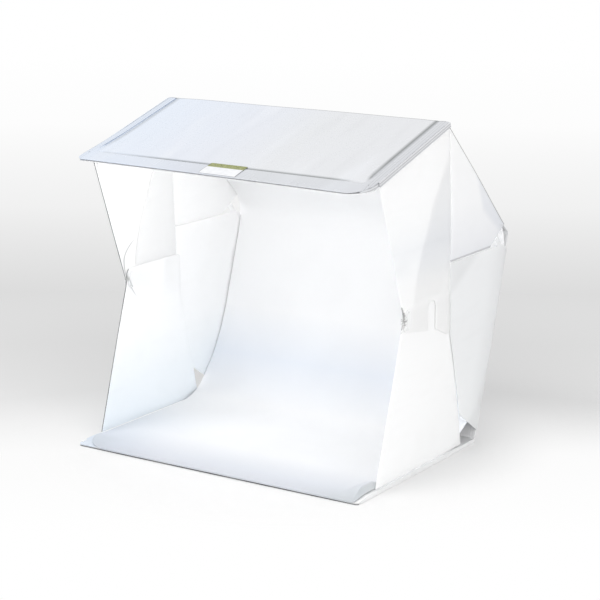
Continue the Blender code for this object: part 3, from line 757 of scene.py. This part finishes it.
def smooth_faces(piece, angle=28):
    """Shade the soft bends smooth and keep the real edges sharp."""
    select_only(piece)
    bpy.ops.object.shade_smooth_by_angle(angle=radians(angle))


def paint(piece, name, value):
    """Paint a value on each point, by its place, for the finish to read."""
    attribute = piece.data.attributes.new(name, "FLOAT", "POINT")
    for point, spot in zip(piece.data.vertices, attribute.data):
        spot.value = value(point.co.x, point.co.y)


def complete(piece, body, slot, finish, *nodes):
    """Give a finished piece its finish, its body and the nodes that it stands for."""
    dress(piece, finish)
    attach(piece, body)
    if nodes:
        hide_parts(*nodes)


# Roof, modelled level and then tilted
lift_start = 55 * mm
lift_left = 2.2 * mm
sink_right = 1.2 * mm
border_side = 8.5 * mm
border_front = 15 * mm
cover_top = 4.1 * mm
cover_thickness = 0.6 * mm
rim_drop = 0.30 * mm
front_corner = 12 * mm
left_front_corner = 6.5 * mm
right_front_corner = 17 * mm
rear_spare = 40 * mm
groove_radius = 3.5 * mm
crown_inset = 10.4 * mm
crown_run = 14 * mm
crown_height = 0.30 * mm
crown_wave = 0.12 * mm

# Rings of the cover from its rim inwards: width and rise in mm, and how far the front line moves back
cover_rings = [(0.35, 0.25, 0), (0.65, 0.05, 0), (2.4, 0.20, 0), (2.0, -0.10, border_front - border_side),
               (1.3, -0.12, 0), (0.9, -0.22, 0), (0.9, -0.26, 0), (0.9, 0.34, 0), (1.0, 0.18, 0)]


def roof_lift(x, y):
    """How far the roof's front bends up at the left and a little down at the right."""
    forward = max(0.0, (-y - lift_start) / (roof_depth - lift_start))
    to_left = clamp((half_width - x) / (2 * half_width))
    return lift_left * to_left ** 0.85 * forward ** 1.6 - sink_right * (1 - to_left) ** 1.5 * forward ** 3.5


def corner_reach(across, ahead, size, radius):
    """Distance from the middle of a corner square to its rounded outline, in one direction."""
    reach = hypot(across, ahead)
    inner = size - radius
    if max(across, ahead) * inner >= min(across, ahead) * size and inner > 0:
        return size * reach / max(across, ahead)
    along = inner * (across + ahead) / reach
    return along + sqrt(max(radius ** 2 - 2 * inner ** 2 + along ** 2, 0.0))


def reshape_front_corner(point):
    """Move a point near one of the roof's front corners to suit that corner's own radius."""
    side, radius = (-1, left_front_corner) if point.x < 0 else (1, right_front_corner)
    size = max(front_corner, radius)
    across, ahead = side * point.x - half_width + size, -roof_depth + size - point.y
    reach = hypot(across, ahead)
    if across > 0 and ahead > 0 and reach >= 1 * mm:
        built = corner_reach(across, ahead, size, front_corner)
        wanted = corner_reach(across, ahead, size, radius)
        share = 1 + (wanted / built - 1) * min(reach / built, 1.0) ** 3
        point.x = side * (half_width - size + across * share)
        point.y = -roof_depth + size - ahead * share


def groove_distance(x, y):
    """Signed distance to the pressed line, more than 0 outside it."""
    across = abs(x) - (half_width - border_side - groove_radius)
    ahead = -roof_depth + border_front + groove_radius - y
    outside = hypot(max(across, 0.0), max(ahead, 0.0))
    return outside + min(max(across, ahead), 0.0) - groove_radius


def groove_shade_strength(x, y):
    """How dark the painted shade in the pressed line is: it fades towards the front corners."""
    to_front = y + roof_depth - border_front
    if x < -half_width + border_side + 4 * mm:
        return 0.55 * grow(to_front, 1, 20)
    if x > half_width - border_side - 4 * mm:
        return 1.1 * grow(to_front, 1, 9)
    if to_front > 4 * mm:
        return 1.0
    return (0.25 + 0.75 * grow(x, -95, 50)) * (1 - grow(x, 82, 20))


def groove_shade_paint(x, y):
    """One for painted shade in the pressed line, where the line shows."""
    return max(0.0, 1 - abs(groove_distance(x, y)) / (1.5 * mm)) * groove_shade_strength(x, y)


def border_shade_paint(x, y):
    """One for painted shade on the raised border outside the pressed line."""
    return ease(groove_distance(x, y) / (1.6 * mm) + 0.3)


def rim_shade_paint(x, y):
    """One for a thin line of painted shade on the outermost rim, except at the right."""
    to_edge = min(half_width - abs(x), -fold_gap - y)
    return 1.0 if to_edge < 0.4 * mm and x < half_width - 2 * mm else 0.0


def move_forward_points(piece, limit, distance):
    """Move the selected points that lie in front of a line along the roof."""
    leave_edit()
    for point in piece.data.vertices:
        if point.select and point.co.y < limit:
            point.co.y += distance
    bpy.ops.object.mode_set(mode="EDIT")


def roof_cover_piece():
    """The cover: a rounded plate with a raised border, a pressed line and a crown."""
    half_length = (roof_depth + rear_spare) / 2
    cover = start_piece("roof_cover_skin", (half_width, half_length, 1),
                        (0, half_length - roof_depth, cover_top - rim_drop))
    round_corners(cover, front_corner, 10, lambda place: place.y < 0)
    select_all()
    for width, rise, forward in cover_rings:
        bpy.ops.mesh.inset(thickness=width * mm, depth=0)
        bpy.ops.transform.translate(value=(0, 0, rise * mm))
        if forward:
            move_forward_points(cover, -roof_depth + front_corner + 0.1 * mm, forward)
    select_all()
    bpy.ops.mesh.bisect(plane_co=(0, -fold_gap, 0), plane_no=ALONG_Y, clear_outer=True)
    leave_edit()
    inner_side = half_width - 11 * mm
    inner_front = -roof_depth + 17.5 * mm
    slice_across(cover, ALONG_X, steps(-inner_side, inner_side, 7 * mm)
                 + [side * (half_width - inset * mm) for side in (-1, 1) for inset in (11.4, 13, 15)])
    slice_across(cover, ALONG_Y, [inner_front + place for place in steps(0, -inner_front - fold_gap, 5 * mm)]
                 + [-roof_depth + inset * mm for inset in (17.9, 19.5)]
                 + [-fold_gap - inset * mm for inset in (0.35, 1.0)])
    for point in cover.data.vertices:
        x, y = point.co.x, point.co.y
        from_side = ease((half_width - crown_inset - abs(x)) / crown_run)
        from_front = ease((y + roof_depth - crown_inset - (border_front - border_side)) / crown_run)
        point.co.z += crown_height * from_side * from_front
        point.co.z += crown_wave * sin(x / (17 * mm) + y / (23 * mm)) * from_side * from_front
        point.co.z += roof_lift(x, y)
    # Where the finish paints shade: in the pressed line, on the raised border and along the rim
    for name, value in (("groove", groove_shade_paint), ("border", border_shade_paint), ("rim", rim_shade_paint)):
        paint(cover, name, value)
    for point in cover.data.vertices:
        reshape_front_corner(point.co)
    cover.data.transform(roof_frame)
    apply_modifier(cover, "SOLIDIFY", thickness=cover_thickness, offset=-1)
    smooth_faces(cover, 40)
    complete(cover, "roof", "roof_sheet", roof_sheet, "roof_cover")


def lifted_copy(node_name, slot):
    """Copy of a roof node that follows the lift of the roof's front."""
    piece = merged_copy(node_name, "_bent")
    piece.data.transform(roof_frame.inverted())
    slice_across(piece, ALONG_Y, [-place * mm for place in (55, 63, 71, 78, 86, 94, 100.5, 106.5)])
    slice_across(piece, ALONG_X, [place * 23 * mm for place in range(-4, 5)])
    for point in piece.data.vertices:
        point.co.z += roof_lift(point.co.x, point.co.y)
        if node_name == "roof_liner":
            reshape_front_corner(point.co)
    piece.data.transform(roof_frame)
    smooth_faces(piece, 30)
    complete(piece, "roof", slot, finishes[slot], node_name)


def roof_pieces():
    """The roof's cover, and the layers under it bent in the same way."""
    roof_cover_piece()
    for node_name, slot in (("roof_liner", "frosted_sheet"), ("roof_board", "core_board"),
                            ("diffuser_front", "diffuser"), ("led_board_front", "circuit_board"),
                            ("led_lead", "lead")):
        lifted_copy(node_name, slot)


# Y and height over the roof's border of the bed that the label follows, in mm
label_bed = [(-94, 0.45), (-96.3, -0.02), (-97.5, -0.30), (-99, 0.0), (-101, 0.12), (-103.5, 0.25),
             (-109.1, 0.25), (-111.5, 0.06), (-112.5, -0.05)]
label_clearance = 0.12


def label_level(y):
    """Level of the label over the bed, in mm."""
    level = label_bed[-1][1]
    for (high, level_high), (low, level_low) in zip(label_bed, label_bed[1:]):
        if low <= y <= high:
            level = level_low + (level_high - level_low) * (y - low) / (high - low)
    return max(level, 0.0) + label_clearance


def sticker_piece():
    """Thin label on the middle of the roof's front border."""
    sticker = start_piece("roof_label", (label_half, (label_front - label_rear) / 2, 1),
                          (label_middle, -(label_front + label_rear) / 2, 0))
    bpy.ops.mesh.bevel(offset=0.8 * mm, segments=4, affect="VERTICES", clamp_overlap=False)
    leave_edit()
    slice_across(sticker, ALONG_Y,
                 [-place * mm for place in (97, 98, 99, 100, 101, 102, 103.5, 105, 107, 109, 110.5)])
    slice_across(sticker, ALONG_X, [place * mm for place in (-8, -4, 0, 4, 8, 12)])
    for point in sticker.data.vertices:
        point.co.z = cover_top + label_level(point.co.y / mm) * mm + roof_lift(point.co.x, point.co.y)
    sticker.data.transform(roof_frame)
    apply_modifier(sticker, "SOLIDIFY", thickness=0.1 * mm, offset=1)
    smooth_faces(sticker, 40)
    complete(sticker, "roof", "backdrop_sheet", sticker_finish)


# Side sheets. Each bow has its middle's Y and Z, its reach and its height, in mm
bows = [(-15, 165, 38, 1.2), (-15, 55, 38, 1.2), (35, 175, 30, 0.9), (50, 90, 35, 1.0)]
edge_round = 0.2 * mm
sheet_step = 8 * mm
dark_edged = ("roof_wing_left", "base_wing_left")


def side_bow(y, z):
    """How far the side sheets bow outwards, the same for sheets that overlap."""
    return sum(height * mm * exp(-((y / mm - middle_y) ** 2 + (z / mm - middle_z) ** 2) / reach ** 2)
               for middle_y, middle_z, reach, height in bows)


def darken_front_edge(piece):
    """Give the faces of a piece's cut front edge the painted shade of cut edges."""
    piece.data.materials.append(edge_shade_finish)
    for face in piece.data.polygons:
        if -face.normal.y > 0.45:
            face.material_index = 1


def side_sheet_piece(node_name, body, side):
    """Copy of a side sheet with rounded edges and a soft bow."""
    piece = merged_copy(node_name, "_sheet")
    apply_modifier(piece, "BEVEL", width=edge_round, segments=2, limit_method="ANGLE",
                   angle_limit=radians(40))
    low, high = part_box(node_name)
    slice_across(piece, ALONG_Y, steps(low.y, high.y, sheet_step))
    slice_across(piece, ALONG_Z, steps(low.z, high.z, sheet_step))
    for point in piece.data.vertices:
        point.co.x += side * side_bow(point.co.y, point.co.z)
    smooth_faces(piece)
    complete(piece, body, "frosted_sheet", side_finishes[body], node_name)
    if node_name in dark_edged:
        darken_front_edge(piece)


def side_pieces():
    """The wings, the second layers and the flaps of both sides."""
    for side_name, side in SIDES:
        for kind in ("roof_wing_", "roof_wing_lining_", "base_wing_", "upper_flap_", "lower_flap_"):
            node_name = kind + side_name
            side_sheet_piece(node_name, node_name.replace("_lining", ""), side)


# Welded edges
bar_half = 0.65 * mm
bar_round = 0.3 * mm
lip_length = 12.5 * mm
lip_rise = 2.0 * mm


def edge_bar(name, body, slot, finish, x_middle, y_span, z_span, panel=Matrix.Identity(4), rise=None):
    """Welded edge between two skins: a thin bar, rounded on its outside."""
    bar = start_piece(name, (bar_half, (y_span[1] - y_span[0]) / 2, (z_span[1] - z_span[0]) / 2),
                      (x_middle, sum(y_span) / 2, sum(z_span) / 2), bpy.ops.mesh.primitive_cube_add)
    bpy.ops.mesh.bevel(offset=bar_round, segments=3, affect="EDGES")
    leave_edit()
    slice_across(bar, ALONG_Y, steps(y_span[0], y_span[1], 6 * mm))
    if rise:
        for point in bar.data.vertices:
            rise(point.co, sum(z_span) / 2)
    bar.data.transform(panel)
    smooth_faces(bar, 50)
    complete(bar, body, slot, finish)


def follow_lip(point, middle):
    """Raise a bar's underside with the roof's front lip, and the whole bar with the roof's lift."""
    ramp = clamp((-point.y - roof_depth + lip_length) / lip_length)
    side, radius = (1, right_front_corner) if point.x > 0 else (-1, left_front_corner)
    past = min(max(0.0, -point.y - roof_depth + radius), radius)
    point.x -= side * (radius - sqrt(radius ** 2 - past ** 2))
    if point.z < middle:
        point.z += lip_rise * ramp
    point.z += roof_lift(point.x, point.y)


def edge_pieces():
    """Welded edges of the floor and the roof's front corners, and the floor's front edge, painted dark as a
    shadow line.
    """
    for side_name, side in SIDES:
        edge_bar("base_edge_" + side_name, "base", "frosted_sheet", plain_sheet,
                 side * (half_width - 0.75 * mm), (base_front + 3 * mm, base_fold.y - 1.2 * mm),
                 (0.55 * mm, 2.5 * mm))
        edge_bar("roof_edge_" + side_name, "roof", "roof_sheet", strip_finish,
                 side * (half_width - 0.80 * mm), (-roof_depth + 4.5 * mm, -60 * mm),
                 (0.55 * mm, 3.3 * mm), roof_frame, follow_lip)
    cover = merged_copy("base_cover", "_skin")
    complete(cover, "base", "frosted_sheet", plain_sheet, "base_cover")
    # Its front edge faces get painted shadow
    darken_front_edge(cover)


# Backdrop
backdrop_half = 112 * mm
backdrop_thickness = 0.5 * mm
left_corner = 20 * mm
right_corner = 2.5 * mm
floor_level = 3.55 * mm
wall_gap = 1.6 * mm
wall_spread = 0.0160
wave_height = 0.35 * mm
wave_run = 60 * mm
right_curl = 4.8 * mm
left_curl = 0.5 * mm


def in_profile(panel, reach, lift):
    """Side-profile point of a panel's own length and height."""
    point = panel @ Vector((0, reach, lift))
    return Vector((point.y, point.z))


def crossing(first, first_angle, second, second_angle):
    """Where two lines of the side profile cross."""
    run = second - first
    distance = (run.x * sin(second_angle) - run.y * cos(second_angle)) / sin(second_angle - first_angle)
    return first + distance * Vector((cos(first_angle), sin(first_angle)))


def soft_bend(start, control, end, count=16):
    """Even points of a soft bend."""
    return [(1 - share) ** 2 * start + 2 * share * (1 - share) * control + share ** 2 * end
            for share in (step / count for step in range(1, count))]


def backdrop_route():
    """Side profile of the backdrop's middle, from below the floor's front edge to its top."""
    front = [Vector((base_front + y * mm, z * mm)) for y, z in ((-0.45, 1.0), (-0.30, 1.85), (0.8, 2.15))]
    lip_end = Vector((base_front + 12.5 * mm, floor_level))
    floor_end = Vector((base_fold.y - 46 * mm, floor_level))
    wall_start = in_profile(lower_frame, 78 * mm, wall_gap)
    wall_end = in_profile(lower_frame, lower_back_length - 20 * mm, wall_gap)
    slope_start = in_profile(upper_frame, 20 * mm, wall_gap)
    slope_end = in_profile(upper_frame, upper_back_length - 18 * mm, wall_gap)
    sweep = crossing(floor_end, 0, wall_start, lower_back_angle)
    bend = crossing(wall_end, lower_back_angle, slope_start, upper_back_angle)
    return [*front, lip_end, floor_end, *soft_bend(floor_end, sweep, wall_start), wall_start, wall_end,
            *soft_bend(wall_end, bend, slope_start), slope_start, slope_end]


def route_place(route, distance):
    """Point of the route at a distance from its start, and the direction square to it."""
    for start, end in zip(route, route[1:]):
        run = (end - start).length
        if distance <= run or end is route[-1]:
            heading = (end - start) / run
            return start + heading * distance, Vector((-heading.y, heading.x))
        distance -= run


def edge_curl(x, y):
    """How far the right edge arches up beside the front corner, and the left one a little."""
    right = grow(x, 96, 13) * grow(y, -102.3, 13) * (1 - grow(y, -80, 16))
    right *= 1 - clamp((x - 109.6 * mm) / (2.0 * mm))
    left = grow(-x, 92, 20) * grow(y, -100, 14) * (1 - grow(y, -84, 12))
    return right_curl * right + left_curl * left


def tip_shade_paint(x, distance):
    """One where painted shade darkens the backdrop's front corners and its arched right edge."""
    corner = grow(x, 66, 40) * grow(distance, 24, -24)
    arch = 1.5 if x > 109.7 * mm and distance < 40 * mm else 0.0
    left = grow(-x, 86, 16) * grow(distance, 24, -10) * 0.5
    return max(corner, arch, left)


def backdrop_piece():
    """The backdrop: a flat sheet with rounded front corners, bent along its route."""
    route = backdrop_route()
    length = sum((end - start).length for start, end in zip(route, route[1:]))
    backdrop = start_piece("backdrop_sweep", (backdrop_half, length / 2, 1), (0, length / 2, 0))
    near = 0.01 * mm
    for side, radius in ((-1, left_corner), (1, right_corner)):
        round_corners(backdrop, radius, 12,
                      lambda place: place.y < near and place.x * side > backdrop_half - near)
    leave_edit()
    slice_across(backdrop, ALONG_Y, [0.45 * mm, 0.9 * mm, 1.4 * mm, 2.0 * mm, *steps(0, 60 * mm, 3 * mm)]
                 + [60 * mm + place for place in steps(0, length - 60 * mm, 4.5 * mm)])
    slice_across(backdrop, ALONG_X, steps(-90 * mm, 90 * mm, 12 * mm)
                 + [side * place * mm for side in (-1, 1)
                    for place in (90, 94, 98, 101, 104, 107, 108.6, 109.6, 110.4, 111.2)])
    paint(backdrop, "along", lambda x, distance: distance / length)
    paint(backdrop, "tip", tip_shade_paint)
    for point in backdrop.data.vertices:
        x, distance = point.co.x, point.co.y
        place, square = route_place(route, distance)
        on_wall = ease((distance - wave_run) / wave_run) * ease((length - distance) / wave_run)
        place = place + square * max(wave_height * sin(x / (31 * mm) + 1) * on_wall, 0)
        wider = 1 + wall_spread * grow(place.x, 36, 14)
        point.co = (x * wider, place.x, place.y + edge_curl(x, place.x))
    apply_modifier(backdrop, "SOLIDIFY", thickness=backdrop_thickness, offset=0)
    smooth_faces(backdrop, 35)
    complete(backdrop, "base", "backdrop_sheet", finishes["backdrop_sheet"], "backdrop_sheet")
    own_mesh(backdrop)


# Hinge films
film_lift = 1.3 * mm
film_half = 113.2 * mm
film_thickness = 0.2 * mm


def hinge_film(name, points):
    """Thin film along a fold: a row of strips bent through points of the side profile."""
    rows = len(points) - 1
    bpy.ops.object.select_all(action="DESELECT")
    bpy.ops.mesh.primitive_grid_add(x_subdivisions=6, y_subdivisions=rows, size=2, location=(0, 0, 0))
    film = bpy.context.object
    film.name = name
    for point in film.data.vertices:
        place = points[round((point.co.y + 1) / 2 * rows)]
        point.co = (point.co.x * film_half, place.x, place.y)
    apply_modifier(film, "SOLIDIFY", thickness=film_thickness, offset=0)
    smooth_faces(film, 40)
    dress(film, film_finish)
    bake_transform(film)


def hinge_pieces():
    """Films over the crease and over the roof's fold, on the back's outside."""
    turn = [lower_back_angle + (upper_back_angle - lower_back_angle) * step / 6 for step in range(7)]
    below = [in_profile(lower_frame, lower_back_length - reach * mm, -film_lift) for reach in (7, 4, 2, 1)]
    around = [Vector((crease.y + film_lift * sin(angle), crease.z - film_lift * cos(angle)))
              for angle in turn]
    above = [in_profile(upper_frame, reach * mm, -film_lift) for reach in (1, 2, 4, 7)]
    hinge_film("crease_film", below + around + above)
    under_roof = [in_profile(upper_frame, upper_back_length - reach * mm, -film_lift)
                  for reach in (7, 4, 2, 1, 0.2)]
    on_roof = [in_profile(roof_frame, -0.35 * mm, level * mm) for level in (1.7, 2.4, 3.2, 3.9)]
    bend = soft_bend(under_roof[-1], under_roof[-1] + Vector((-0.7 * mm, 0.75 * mm)), on_roof[0], 5)
    hinge_film("roof_film", under_roof + bend + on_roof)


# Room
world_light = 0.77
floor_size = 60
floor_drop = 0.05 * mm
floor_grey = (0.84, 0.84, 0.84)
floor_turn = radians(32.5)
lamp_size = 1.2
lamp_target = Vector((0, 0, 0.1))

# Depth behind the object's middle in metres, and the floor's tone there, a band of painted shadow behind the
# object
floor_near, floor_far = -0.3, 2.7
floor_shadow_tones = [(-0.20, 1.0), (-0.04, 0.97), (0.08, 0.86), (0.26, 0.76), (0.45, 0.72), (0.90, 0.88),
               (1.6, 0.98), (2.6, 1.0)]


def studio_world():
    """World light: white for what the camera and reflections see, dimmer for the object."""
    world = bpy.data.worlds.new("studio")
    bpy.context.scene.world = world
    world.use_nodes = True
    nodes = Nodes(world.node_tree)
    mix = nodes.node("Mix", Factor=nodes.seen_directly(), A=world_light, B=1.0)
    nodes.feed(nodes.tree.nodes["Background"], Color=(1, 1, 1), Strength=mix.outputs["Result"])


def add_floor():
    """Pale floor with a grey band of painted shadow behind the object, that turns into the world's white far
    behind it.
    """
    bpy.ops.mesh.primitive_plane_add(size=floor_size, location=(0, 0, -floor_drop))
    floor = bpy.context.object
    floor.name = "floor"
    finish = Finish("floor_paint", floor_grey, 0.75)
    depth = finish.axis("Y", finish.placed(turn=(0, 0, -floor_turn)))
    stops = [((place - floor_near) / (floor_far - floor_near), level) for place, level in floor_shadow_tones]
    tone = finish.ramp(finish.spread(depth, floor_near, floor_far), stops)
    finish.set(Base_Color=finish.blend(floor_grey, tone, 1.0, "MULTIPLY"))
    length = finish.node("VectorMath", Vector=finish.coords)
    length.operation = "LENGTH"
    away = length.outputs["Value"]
    in_front = finish.times(finish.smooth(away, 0.105, 0.19), finish.smooth(depth, 0.15, -0.05))
    far = finish.reckon("MAXIMUM", finish.smooth(away, 0.13, 0.50), in_front)
    plain_white = finish.node("Emission", Color=tone).outputs["Emission"]
    mix = finish.node("MixShader", Fac=finish.times(far, finish.seen_directly()))
    finish.give(mix.inputs[1], finish.shader.outputs["BSDF"])
    finish.give(mix.inputs[2], plain_white)
    finish.feed(finish.tree.nodes["Material Output"], Surface=mix.outputs["Shader"])
    dress(floor, finish.material)


def add_lamp(name, place, power):
    """Square soft lamp aimed at the object."""
    bpy.ops.object.light_add(type="AREA", location=place)
    lamp = bpy.context.object
    lamp.name = name
    lamp.rotation_euler = (lamp_target - Vector(place)).to_track_quat("-Z", "Y").to_euler()
    lamp.data.size = lamp_size
    lamp.data.energy = power


dress_nodes()
add_camera()
roof_pieces()
sticker_piece()
side_pieces()
edge_pieces()
hinge_pieces()
backdrop_piece()
studio_world()
add_floor()
add_lamp("key", (-0.9, -1.0, 1.4), 10.4)
add_lamp("fill", (1.4, -0.9, 0.8), 7.9)

bpy.context.scene.view_settings.view_transform = "Standard"
